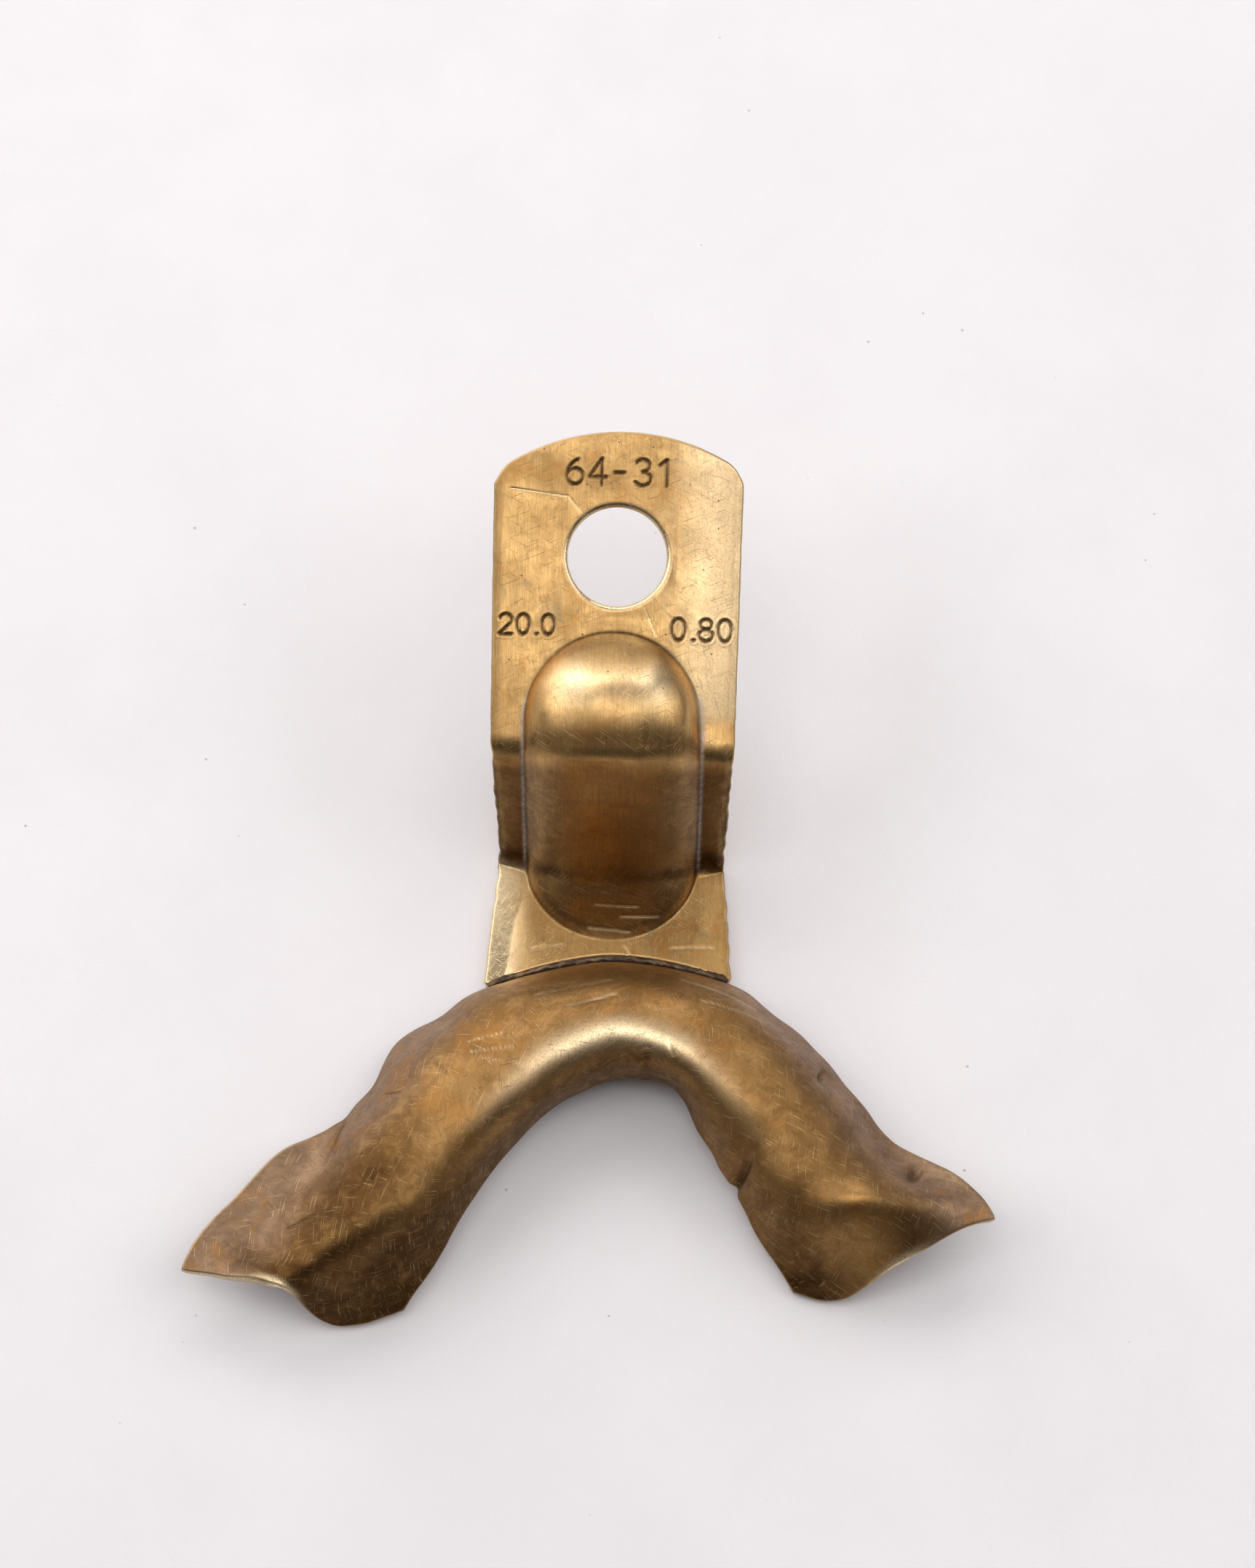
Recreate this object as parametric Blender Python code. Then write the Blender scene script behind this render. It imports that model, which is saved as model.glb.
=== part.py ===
"""Pressed brass impression tray for a toothless lower jaw, lying trough-down on its rim.

Three pieces: the horseshoe trough, the S-bent handle with its raised stiffening boss and punched
hole, and the thin braze seam that joins them. All sizes are in millimetres and are scaled to
metres when a mesh is made. +Y points forward along the handle, +X to the right seen from behind
the trough, +Z up. Shapes are drawn with y = 0 at the foot of the front wall, and the finished
tray is then moved so that the origin is under the middle of its box.
"""

import bpy
import math
import numpy as np
from mathutils import Vector

MM = 0.001
SHEET = 0.8              # brass sheet thickness

# Trough: sections from the left rear end, round the front, to the right rear end. Each section
# runs from the outer rim over the crest to the inner rim, as (x, y, height) of the top surface.
TROUGH_SECTIONS = (
    # outer rim, valley, outer shoulder, crest, inner shoulder, inner rim
    ((-32.8, -27.8, 5.2), (-28.8, -28.3, 5.5), (-24.6, -29.1, 7.4),
     (-21.6, -31.0, 1.0), (-18.7, -30.9, 0.74), (-15.3, -29.5, 0.95)),
    ((-31.7, -25.1, 5.3), (-27.3, -26.1, 5.0), (-22.9, -27.2, 7.2),
     (-19.6, -25.9, 8.8), (-15.7, -24.8, 7.1), (-13.1, -26.4, 1.8)),
    ((-29.0, -21.9, 5.0), (-24.3, -21.9, 4.6), (-21.0, -22.6, 7.4),
     (-17.0, -22.7, 8.7), (-13.3, -22.5, 7.1), (-11.2, -22.8, 2.4)),
    ((-25.9, -18.0, 4.6), (-22.5, -19.2, 4.2), (-19.8, -19.8, 7.2),
     (-15.3, -20.2, 8.6), (-11.7, -20.3, 7.0), (-9.9, -20.5, 2.5)),
    ((-21.7, -15.2, 3.8), (-20.7, -16.1, 4.2), (-18.8, -17.0, 7.0),
     (-14.0, -18.1, 8.5), (-10.2, -18.3, 7.1), (-8.5, -18.3, 2.6)),
    ((-18.7, -11.8, 3.0), (-17.9, -12.6, 4.5), (-16.2, -13.7, 7.2),
     (-11.9, -15.9, 8.8), (-8.6, -16.7, 7.4), (-7.3, -16.7, 2.6)),
    ((-16.9, -7.7, 2.5), (-15.7, -8.8, 4.6), (-13.8, -10.3, 7.6),
     (-9.6, -13.8, 9.0), (-6.9, -15.2, 7.7), (-5.8, -14.9, 2.7)),
    ((-13.4, -5.2, 1.8), (-12.5, -6.5, 4.5), (-10.8, -8.2, 7.8),
     (-6.9, -12.0, 9.2), (-4.9, -13.6, 7.8), (-4.2, -13.4, 3.0)),
    ((-10.3, -2.7, 1.3), (-9.4, -3.9, 4.7), (-7.9, -5.9, 8.0),
     (-4.6, -10.1, 9.3), (-2.9, -12.1, 7.9), (-2.3, -12.2, 3.2)),
    ((0.0, 0.0, 1.2), (0.2, -1.7, 5.2), (0.4, -4.0, 8.0),
     (0.7, -8.1, 9.3), (1.1, -10.2, 7.9), (1.2, -10.8, 3.4)),
    ((10.0, -1.7, 1.3), (9.2, -3.0, 4.7), (8.1, -5.1, 8.0),
     (5.6, -9.5, 9.2), (4.9, -11.2, 7.9), (4.7, -11.1, 3.6)),
    ((13.4, -4.3, 1.8), (12.5, -5.5, 4.5), (11.1, -7.2, 7.8),
     (7.9, -10.8, 9.0), (6.3, -12.0, 7.8), (5.8, -11.8, 3.6)),
    ((16.7, -7.1, 2.6), (15.7, -8.1, 4.6), (14.1, -9.6, 7.6),
     (10.0, -12.2, 8.9), (7.5, -13.0, 7.5), (6.5, -12.8, 3.4)),
    ((19.5, -10.6, 3.0), (18.5, -11.3, 4.5), (16.9, -12.6, 7.4),
     (12.8, -14.4, 8.7), (9.3, -15.0, 7.3), (7.4, -14.9, 3.4)),
    ((21.6, -13.3, 3.5), (20.6, -14.1, 4.5), (19.1, -15.4, 7.2),
     (15.2, -16.8, 8.5), (11.3, -17.1, 7.0), (8.8, -16.8, 2.8)),
    ((24.1, -16.2, 4.2), (22.7, -16.6, 4.6), (20.8, -17.8, 7.3),
     (16.8, -19.1, 8.6), (12.9, -19.4, 7.0), (10.0, -18.9, 2.6)),
    ((27.4, -17.9, 5.3), (25.0, -18.7, 5.0), (22.8, -19.7, 7.4),
     (18.7, -20.8, 8.7), (14.4, -21.3, 6.9), (11.2, -20.9, 2.4)),
    ((30.2, -20.5, 6.0), (28.5, -20.2, 6.2), (25.1, -21.6, 8.2),
     (20.7, -21.9, 8.9), (16.2, -23.5, 6.2), (12.5, -23.3, 1.9)),
    ((31.2, -22.2, 6.0), (29.1, -22.7, 6.2), (26.1, -24.5, 5.8),
     (22.5, -26.2, 3.8), (18.9, -28.1, 0.7), (15.4, -27.2, 0.85)),
)
TROUGH_CUTS_ALONG = 3    # mesh steps between two sections
TROUGH_CUTS_ACROSS = 3   # mesh steps between two points of a section
ARCH_FRONT = 14          # the part of the rim within this of the middle faces the handle

# Handle strip, side view: corners of the top surface as (y, height), and its bend radii.
SHELF_START = (0.0, 1.2)
LOWER_BEND = (8.4, 0.8)
UPPER_BEND = (12.3, 15.5)
PLATE_SLOPE = math.radians(21)
PLATE_LENGTH = 25.8      # from the upper bend's corner to the end of the plate
LOWER_RADIUS = 1.4
UPPER_RADIUS = 3.0
HALF_WIDTHS = ((-3.0, 10.25), (3.0, 9.85), (8.4, 9.45), (16.0, 9.6), (24.0, 9.8), (50.0, 10.1))
WIDTH_CUTS = 8           # curve steps between two of those (distance, half width) pairs
END_RADIUS = 17.0        # the plate's far end is one shallow arc
END_CORNER = 1.6         # radius where that arc meets the sides
END_ARC_MIDDLE = 0.35    # the arc was cut a little off centre

# Stiffening boss: a raised stadium across both bends.
BOSS_HALF_WIDTH = 7.0
BOSS_START = 2.0         # distance along the strip from the foot of the front wall
BOSS_STOP = 9.6          # distance along the plate from the upper bend to the boss's end
DOME_MARKS = (2.6, 6.2)  # distances along the plate under the two corners of the dome's back
BOSS_POWER = 2.2         # these two shape the boss's cross-section: a steep foot and
BOSS_ROUNDING = 0.62     # a round back
# Side view of its back as (y, height): its start, over the two bends, over the dome, its end.
RIDGE = ((1.8, 1.9), (6.0, 4.7), (10.9, 18.7), (13.8, 20.6), (17.6, 21.0), (21.6, 19.9))
RIDGE_RADII = (3.0, 2.2, 7.0, 9.0)

HOLE_RADIUS = 3.95
HOLE_FROM_BEND = 15.7    # along the plate, from the upper bend's corner
HOLE_SIDES = 40
CUTTER_LENGTH = 6.0

# Mesh of the handle: rows along each stretch of the strip, and columns across it.
SHELF_ROWS = 12
LOWER_BEND_REACH, LOWER_BEND_ROWS = 1.0, 4
RISER_ROWS = 13
UPPER_BEND_REACH, UPPER_BEND_ROWS = 1.8, 6
DOME_ROWS = 13
PAST_BOSS = 0.5
PLATE_ROWS = 7
BOSS_COLUMNS = 23
FLANK_COLUMNS = 4
FLANK_START = 0.72       # share of the half width where the boss ends and the flat flank begins

# Braze seam between the strip's cut end and the trough's front rim.
SEAM_WIDTH = 0.5
SEAM_CLEARANCE = 0.1
SEAM_HEIGHTS = (0.55, 1.35)
SEAM_TOP_FALL = 0.05     # the bead's top slopes down this much to the handle
SEAM_END_GAP = 0.2       # the bead stops this short of the strip's sides
SEAM_STEPS = 24


def clear_scene():
    for thing in list(bpy.data.objects):
        bpy.data.objects.remove(thing, do_unlink=True)


def brass(name, color, roughness):
    """A bare brass finish with its own colour and roughness."""
    material = bpy.data.materials.new(name)
    material.use_nodes = True
    shader = material.node_tree.nodes["Principled BSDF"]
    shader.inputs["Base Color"].default_value = (*color, 1.0)
    shader.inputs["Metallic"].default_value = 1.0
    shader.inputs["Roughness"].default_value = roughness
    return material


def make_object(name, points, faces, material):
    """A smooth-shaded object from points in millimetres."""
    mesh = bpy.data.meshes.new(name)
    mesh.from_pydata([Vector(p) * MM for p in points], [], faces)
    mesh.materials.append(material)
    mesh.shade_smooth()
    thing = bpy.data.objects.new(name, mesh)
    bpy.context.scene.collection.objects.link(thing)
    return thing


def grid_faces(rows, columns):
    """Quads of a grid stored row by row."""
    return [
        (r * columns + c, r * columns + c + 1, (r + 1) * columns + c + 1, (r + 1) * columns + c)
        for r in range(rows - 1)
        for c in range(columns - 1)
    ]


def thicken(thing):
    """Gives a sheet its thickness, below its drawn surface."""
    solidify = thing.modifiers.new("sheet thickness", "SOLIDIFY")
    solidify.thickness = SHEET * MM
    solidify.offset = -1.0
    solidify.use_even_offset = True


def curve_through(points, cuts):
    """Catmull-Rom curve through points of any shape, with that many steps between neighbours."""
    points = np.asarray(points, float)
    before = 2 * points[:1] - points[1:2]
    after = 2 * points[-1:] - points[-2:-1]
    padded = np.concatenate([before, points, after])
    steps = []
    for i in range(len(points) - 1):
        a, b, c, d = padded[i:i + 4]
        for k in range(cuts):
            t = k / cuts
            steps.append(b + 0.5 * t * ((c - a) + t * (2 * a - 5 * b + 4 * c - d
                                                       + t * (3 * b - a - 3 * c + d))))
    steps.append(points[-1])
    return np.array(steps)


def trough_surface():
    """Grid of points over the trough: along the arch, then from outer to inner rim."""
    along = curve_through(TROUGH_SECTIONS, TROUGH_CUTS_ALONG)
    across = curve_through(along.transpose(1, 0, 2), TROUGH_CUTS_ACROSS)
    return across.transpose(1, 0, 2)


def front_rim_y(x):
    """How far forward the trough's outer rim lies, near the handle."""
    rim = trough_surface()[:, 0]
    front = rim[np.abs(rim[:, 0]) < ARCH_FRONT]
    return np.interp(x, front[:, 0], front[:, 1])


class RoundedPath:
    """Straight runs joined by arcs, in a side view, measured along its length."""

    def __init__(self, corners, radii):
        corners = [Vector(c) for c in corners]
        self.pieces = []
        self.length = 0.0
        self.corner_marks = [0.0]
        start = corners[0]
        for i, radius in enumerate(radii, 1):
            inward = (corners[i] - corners[i - 1]).normalized()
            outward = (corners[i + 1] - corners[i]).normalized()
            turn = inward.angle_signed(outward)      # positive turns clockwise
            cut = radius * math.tan(abs(turn) / 2)
            arc_start = corners[i] - inward * cut
            self.add_run(start, arc_start)
            self.corner_marks.append(self.length + radius * abs(turn) / 2)
            self.add_arc(arc_start, inward, radius, turn)
            start = corners[i] + outward * cut
        self.add_run(start, corners[-1])
        self.corner_marks.append(self.length)

    def add_run(self, start, stop):
        direction = (stop - start).normalized()
        self.pieces.append((self.length, lambda d: start + direction * d))
        self.length += (stop - start).length

    def add_arc(self, start, direction, radius, turn):
        side = -1.0 if turn > 0 else 1.0
        left = Vector((-direction.y, direction.x)) * side
        centre = start + left * radius

        def point(d):
            angle = d / radius
            return centre - left * radius * math.cos(angle) + direction * radius * math.sin(angle)

        self.pieces.append((self.length, point))
        self.length += radius * abs(turn)

    def at(self, distance):
        """The point at a distance; a negative distance runs on before the start."""
        begin, point = self.pieces[0]
        for candidate_begin, candidate in self.pieces:
            if candidate_begin <= distance:
                begin, point = candidate_begin, candidate
        return point(distance - begin)


def strip_path():
    plate_end = (UPPER_BEND[0] + PLATE_LENGTH * math.cos(PLATE_SLOPE),
                 UPPER_BEND[1] + PLATE_LENGTH * math.sin(PLATE_SLOPE))
    corners = (SHELF_START, LOWER_BEND, UPPER_BEND, plate_end)
    return RoundedPath(corners, (LOWER_RADIUS, UPPER_RADIUS))


def half_width(distance):
    widths = curve_through(HALF_WIDTHS, WIDTH_CUTS)
    return float(np.interp(distance, widths[:, 0], widths[:, 1]))


def plate_end(across, length):
    """Where the plate ends, for a distance across it: a shallow arc with rounded corners."""
    arc = END_RADIUS - math.sqrt(END_RADIUS ** 2 - (across - END_ARC_MIDDLE) ** 2)
    into_corner = max(0.0, abs(across) - (half_width(length) - END_CORNER))
    corner = END_CORNER - math.sqrt(max(0.0, END_CORNER ** 2 - into_corner ** 2))
    return length - arc - corner


def boss_share(across, distance, start, stop):
    """0 outside the boss and on its outline, rising to 1 along its back."""
    beyond = max(start + BOSS_HALF_WIDTH - distance, distance - (stop - BOSS_HALF_WIDTH), 0.0)
    from_back = min(math.hypot(across, beyond) / BOSS_HALF_WIDTH, 1.0)
    return (1.0 - from_back ** BOSS_POWER) ** BOSS_ROUNDING


def handle_surface():
    """Grid of points over the handle: along the strip, then from left to right."""
    strip = strip_path()
    ridge = RoundedPath(RIDGE, RIDGE_RADII)
    lower, upper = strip.corner_marks[1:3]
    boss_stop = upper + BOSS_STOP
    strip_marks = (BOSS_START, lower, upper, *(upper + mark for mark in DOME_MARKS), boss_stop)
    stretches = (
        (lower - LOWER_BEND_REACH, lower + LOWER_BEND_REACH, LOWER_BEND_ROWS),
        (lower + LOWER_BEND_REACH, upper - UPPER_BEND_REACH, RISER_ROWS),
        (upper - UPPER_BEND_REACH, upper + UPPER_BEND_REACH, UPPER_BEND_ROWS),
        (upper + UPPER_BEND_REACH, boss_stop + PAST_BOSS, DOME_ROWS),
    )
    middle = [stretches[0][0]]
    for first, last, count in stretches:
        middle.extend(np.linspace(first, last, count)[1:])
    flank = np.linspace(FLANK_START, 1.0, FLANK_COLUMNS)[1:]
    columns = np.concatenate([-flank[::-1], np.linspace(-FLANK_START, FLANK_START, BOSS_COLUMNS), flank])

    def row(distances):
        points = []
        for share, distance in zip(columns, distances):
            across = share * half_width(distance)
            base = strip.at(distance)
            raised = boss_share(across, distance, BOSS_START, boss_stop)
            if raised > 0:
                top = ridge.at(np.interp(distance, strip_marks, ridge.corner_marks))
                base = base.lerp(top, raised)
            points.append((across, base.x, base.y))
        return points

    nominal = columns * half_width(0.0)
    rim = front_rim_y(nominal) + SEAM_WIDTH + 2 * SEAM_CLEARANCE
    ends = [plate_end(share * half_width(strip.length), strip.length) for share in columns]
    rows = []
    for share in np.linspace(0.0, 1.0, SHELF_ROWS)[:-1]:
        rows.append(row(rim + (middle[0] - rim) * share))
    for distance in middle:
        rows.append(row([distance] * len(columns)))
    for share in np.linspace(0.0, 1.0, PLATE_ROWS)[1:]:
        rows.append(row([middle[-1] + (end - middle[-1]) * share for end in ends]))
    return rows


def hole_middle():
    """The hole's centre on the plate's top face."""
    return Vector((0.0,
                   UPPER_BEND[0] + HOLE_FROM_BEND * math.cos(PLATE_SLOPE),
                   UPPER_BEND[1] + HOLE_FROM_BEND * math.sin(PLATE_SLOPE)))


def make_tray_body():
    surface = trough_surface()
    rows, columns = surface.shape[:2]
    body = make_object("tray_body", surface.reshape(-1, 3), grid_faces(rows, columns),
                       brass("tray_brass", (0.62, 0.43, 0.20), 0.36))
    thicken(body)
    return body


def make_hole_cutter():
    bpy.ops.mesh.primitive_cylinder_add(vertices=HOLE_SIDES, radius=HOLE_RADIUS * MM,
                                        depth=CUTTER_LENGTH * MM,
                                        location=hole_middle() * MM,
                                        rotation=(PLATE_SLOPE, 0.0, 0.0))
    cutter = bpy.context.object
    cutter.name = "hole_cutter"
    cutter.hide_render = True
    cutter.display_type = "WIRE"
    return cutter


def make_handle():
    rows = handle_surface()
    points = [point for row in rows for point in row]
    faces = grid_faces(len(rows), len(rows[0]))
    handle = make_object("handle", points, faces,
                         brass("handle_brass", (0.72, 0.53, 0.27), 0.33))
    thicken(handle)
    cutter = make_hole_cutter()
    hole = handle.modifiers.new("punched hole", "BOOLEAN")
    hole.operation = "DIFFERENCE"
    hole.solver = "EXACT"
    hole.object = cutter
    return handle, cutter


def make_braze_seam():
    """A bead along the front rim: a six-sided section swept across the handle's width."""
    low, high = SEAM_HEIGHTS
    middle = (low + high) / 2
    half = SEAM_WIDTH / 2
    section = ((-half, middle), (-half / 2, high), (half / 2, high - SEAM_TOP_FALL),
               (half, middle), (half / 2, low), (-half / 2, low))
    reach = half_width(0.0) - SEAM_END_GAP
    points = []
    for x in np.linspace(-reach, reach, SEAM_STEPS + 1):
        y = float(front_rim_y(x)) + SEAM_CLEARANCE + half
        points += [(x, y + offset, height) for offset, height in section]
    sides = len(section)
    faces = [tuple(range(sides)), tuple(reversed(range(sides * SEAM_STEPS, sides * SEAM_STEPS + sides)))]
    for step in range(SEAM_STEPS):
        for k in range(sides):
            here, after = step * sides + k, step * sides + (k + 1) % sides
            faces.append((after, here, here + sides, after + sides))
    return make_object("braze_seam", points, faces, brass("braze", (0.30, 0.22, 0.16), 0.6))


def stand_on_origin(pieces, followers):
    """Moves everything so that the origin is on the table, under the middle of the tray's box."""
    bpy.context.view_layer.update()
    graph = bpy.context.evaluated_depsgraph_get()
    corners = []
    for piece in pieces:
        solid = piece.evaluated_get(graph)
        corners += [solid.matrix_world @ vertex.co for vertex in solid.data.vertices]
    corners = np.array(corners)
    low, high = corners.min(axis=0), corners.max(axis=0)
    middle = (low + high) / 2
    base = bpy.data.objects.new("tray_base", None)
    bpy.context.scene.collection.objects.link(base)
    base.location = (-middle[0], -middle[1], -low[2])
    for thing in (*pieces, *followers):
        thing.parent = base


clear_scene()
tray_body = make_tray_body()
handle, hole_cutter = make_handle()
braze_seam = make_braze_seam()
stand_on_origin((tray_body, handle, braze_seam), (hole_cutter,))
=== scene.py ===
"""Looks of the pressed brass impression tray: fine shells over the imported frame, aged brass, soft light.

Shapes are drawn in millimetres in the same drawing frame as the part's own source (y = 0 at the foot
of the front wall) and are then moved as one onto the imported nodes. Every vertex of a shell carries
its place on the sheet and a few shares, from 0 to 1, that its material reads.
"""

import math

import bpy
import numpy as np
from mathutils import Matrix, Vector


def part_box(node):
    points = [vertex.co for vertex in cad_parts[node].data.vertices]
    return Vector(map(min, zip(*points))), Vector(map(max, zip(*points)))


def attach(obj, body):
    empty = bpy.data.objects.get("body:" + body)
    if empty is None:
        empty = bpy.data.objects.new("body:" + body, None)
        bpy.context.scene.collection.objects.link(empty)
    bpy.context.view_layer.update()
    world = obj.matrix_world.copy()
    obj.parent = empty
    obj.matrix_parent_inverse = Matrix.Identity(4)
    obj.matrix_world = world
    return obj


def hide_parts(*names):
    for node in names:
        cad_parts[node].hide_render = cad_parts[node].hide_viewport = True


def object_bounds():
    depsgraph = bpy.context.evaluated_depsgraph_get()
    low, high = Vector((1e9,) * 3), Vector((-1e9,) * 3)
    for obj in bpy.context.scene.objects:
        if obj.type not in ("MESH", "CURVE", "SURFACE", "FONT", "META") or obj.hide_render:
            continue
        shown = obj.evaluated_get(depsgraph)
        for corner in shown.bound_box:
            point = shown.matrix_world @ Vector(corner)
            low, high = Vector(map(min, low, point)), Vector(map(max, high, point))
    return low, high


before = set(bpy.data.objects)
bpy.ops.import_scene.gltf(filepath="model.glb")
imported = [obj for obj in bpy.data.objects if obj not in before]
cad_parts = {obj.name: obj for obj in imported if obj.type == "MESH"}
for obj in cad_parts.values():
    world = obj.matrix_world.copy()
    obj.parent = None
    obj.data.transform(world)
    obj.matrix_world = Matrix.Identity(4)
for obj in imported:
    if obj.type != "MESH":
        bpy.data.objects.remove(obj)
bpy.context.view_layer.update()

MM = 0.001
SHEET = 0.8              # brass sheet thickness
SHEARED_BULGE = 0.22     # how far a sheared edge rounds outward past its flat face

# The part's own dimensions, as its source has them.
TROUGH_SECTIONS = (
    # outer rim, valley, outer shoulder, crest, inner shoulder, inner rim
    ((-32.8, -27.8, 5.2), (-28.8, -28.3, 5.5), (-24.6, -29.1, 7.4),
     (-21.6, -31.0, 1.0), (-18.7, -30.9, 0.74), (-15.3, -29.5, 0.95)),
    ((-31.7, -25.1, 5.3), (-27.3, -26.1, 5.0), (-22.9, -27.2, 7.2),
     (-19.6, -25.9, 8.8), (-15.7, -24.8, 7.1), (-13.1, -26.4, 1.8)),
    ((-29.0, -21.9, 5.0), (-24.3, -21.9, 4.6), (-21.0, -22.6, 7.4),
     (-17.0, -22.7, 8.7), (-13.3, -22.5, 7.1), (-11.2, -22.8, 2.4)),
    ((-25.9, -18.0, 4.6), (-22.5, -19.2, 4.2), (-19.8, -19.8, 7.2),
     (-15.3, -20.2, 8.6), (-11.7, -20.3, 7.0), (-9.9, -20.5, 2.5)),
    ((-21.7, -15.2, 3.8), (-20.7, -16.1, 4.2), (-18.8, -17.0, 7.0),
     (-14.0, -18.1, 8.5), (-10.2, -18.3, 7.1), (-8.5, -18.3, 2.6)),
    ((-18.7, -11.8, 3.0), (-17.9, -12.6, 4.5), (-16.2, -13.7, 7.2),
     (-11.9, -15.9, 8.8), (-8.6, -16.7, 7.4), (-7.3, -16.7, 2.6)),
    ((-16.9, -7.7, 2.5), (-15.7, -8.8, 4.6), (-13.8, -10.3, 7.6),
     (-9.6, -13.8, 9.0), (-6.9, -15.2, 7.7), (-5.8, -14.9, 2.7)),
    ((-13.4, -5.2, 1.8), (-12.5, -6.5, 4.5), (-10.8, -8.2, 7.8),
     (-6.9, -12.0, 9.2), (-4.9, -13.6, 7.8), (-4.2, -13.4, 3.0)),
    ((-10.3, -2.7, 1.3), (-9.4, -3.9, 4.7), (-7.9, -5.9, 8.0),
     (-4.6, -10.1, 9.3), (-2.9, -12.1, 7.9), (-2.3, -12.2, 3.2)),
    ((0.0, 0.0, 1.2), (0.2, -1.7, 5.2), (0.4, -4.0, 8.0),
     (0.7, -8.1, 9.3), (1.1, -10.2, 7.9), (1.2, -10.8, 3.4)),
    ((10.0, -1.7, 1.3), (9.2, -3.0, 4.7), (8.1, -5.1, 8.0),
     (5.6, -9.5, 9.2), (4.9, -11.2, 7.9), (4.7, -11.1, 3.6)),
    ((13.4, -4.3, 1.8), (12.5, -5.5, 4.5), (11.1, -7.2, 7.8),
     (7.9, -10.8, 9.0), (6.3, -12.0, 7.8), (5.8, -11.8, 3.6)),
    ((16.7, -7.1, 2.6), (15.7, -8.1, 4.6), (14.1, -9.6, 7.6),
     (10.0, -12.2, 8.9), (7.5, -13.0, 7.5), (6.5, -12.8, 3.4)),
    ((19.5, -10.6, 3.0), (18.5, -11.3, 4.5), (16.9, -12.6, 7.4),
     (12.8, -14.4, 8.7), (9.3, -15.0, 7.3), (7.4, -14.9, 3.4)),
    ((21.6, -13.3, 3.5), (20.6, -14.1, 4.5), (19.1, -15.4, 7.2),
     (15.2, -16.8, 8.5), (11.3, -17.1, 7.0), (8.8, -16.8, 2.8)),
    ((24.1, -16.2, 4.2), (22.7, -16.6, 4.6), (20.8, -17.8, 7.3),
     (16.8, -19.1, 8.6), (12.9, -19.4, 7.0), (10.0, -18.9, 2.6)),
    ((27.4, -17.9, 5.3), (25.0, -18.7, 5.0), (22.8, -19.7, 7.4),
     (18.7, -20.8, 8.7), (14.4, -21.3, 6.9), (11.2, -20.9, 2.4)),
    ((30.2, -20.5, 6.0), (28.5, -20.2, 6.2), (25.1, -21.6, 8.2),
     (20.7, -21.9, 8.9), (16.2, -23.5, 6.2), (12.5, -23.3, 1.9)),
    ((31.2, -22.2, 6.0), (29.1, -22.7, 6.2), (26.1, -24.5, 5.8),
     (22.5, -26.2, 3.8), (18.9, -28.1, 0.7), (15.4, -27.2, 0.85)),
)
SHELF_START = (0.0, 1.2)
LOWER_BEND = (8.4, 0.8)
UPPER_BEND = (12.3, 15.5)
PLATE_SLOPE = math.radians(21)
PLATE_LENGTH = 25.8
LOWER_RADIUS = 1.4
UPPER_RADIUS = 3.0
HALF_WIDTHS = ((-3.0, 10.25), (3.0, 9.85), (8.4, 9.45), (16.0, 9.6), (24.0, 9.8), (50.0, 10.1))
END_RADIUS = 17.0
END_CORNER = 1.6
END_ARC_MIDDLE = 0.35
BOSS_HALF_WIDTH = 7.0
BOSS_START = 2.0
BOSS_STOP = 9.6
RIDGE = ((1.8, 1.9), (6.0, 4.7), (10.9, 18.7), (13.8, 20.6), (17.6, 21.0), (21.6, 19.9))
RIDGE_RADII = (3.0, 2.2, 7.0, 9.0)
DOME_MARKS = (2.6, 6.2)
BOSS_POWER = 2.2
BOSS_ROUNDING = 0.62
HOLE_RADIUS = 3.95
HOLE_FROM_BEND = 15.7
SEAM_WIDTH = 0.5
SEAM_CLEARANCE = 0.1
ARCH_FRONT = 14          # the part of the rim within this of the middle faces the handle

# Fine meshes.
TROUGH_ROWS = 441        # odd, as the underside uses every second row and column
TROUGH_COLUMNS = 91
HANDLE_COLUMNS = 163
CUTS_ALONG = 36          # curve steps between two of the trough's sections
CUTS_ACROSS = 30         # curve steps between two points of a section
ROUNDING_ACROSS = 80     # smoothing passes over the trough
ROUNDING_ALONG = 40
WIDTH_CUTS = 8           # curve steps between two (distance, half width) pairs
SHELF_SHARES = 44        # row places over the shelf, and again over the plate's end
HOLE_PATCH_REACH = 4.65  # half the side of the square that the hole's rings fill
HOLE_RING_GAP = 0.5      # the innermost flat ring is this far outside the hole's wall
HOLE_RINGS = 14
EDGE_LOOPS = 6
SEAM_STEPS = 360
SEAM_SIDES = 14
SEAM_END_GAP = 0.25      # the bead stops this short of the strip's sides
SEAM_HEIGHT = 0.80       # its middle line's height
SEAM_HALF_WIDTH = 0.36
SEAM_HALF_HEIGHT = 0.34
END_MARGIN = 0.22        # room left at the trough's ends, and at its rims, for the sheared edges
DROOP_LIMIT = 0.02       # the shelf's top face droops no lower than this above the lower bend's corner
UNDERSIDE_OFFSET = 50.0  # sets the underside's texture apart from the top's

# Fields of a vertex, after its position and its place on the sheet.
# The first of them holds real patina together with painted shade, the second real wear together with painted
# highlights.
FIELDS = ("tarnish_and_shade", "wear_and_highlight", "residue", "flange", "underside")
TARNISH_AND_SHADE, WEAR_AND_HIGHLIGHT, RESIDUE, FLANGE, UNDERSIDE = range(5, 10)
WIDTH = 10

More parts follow.
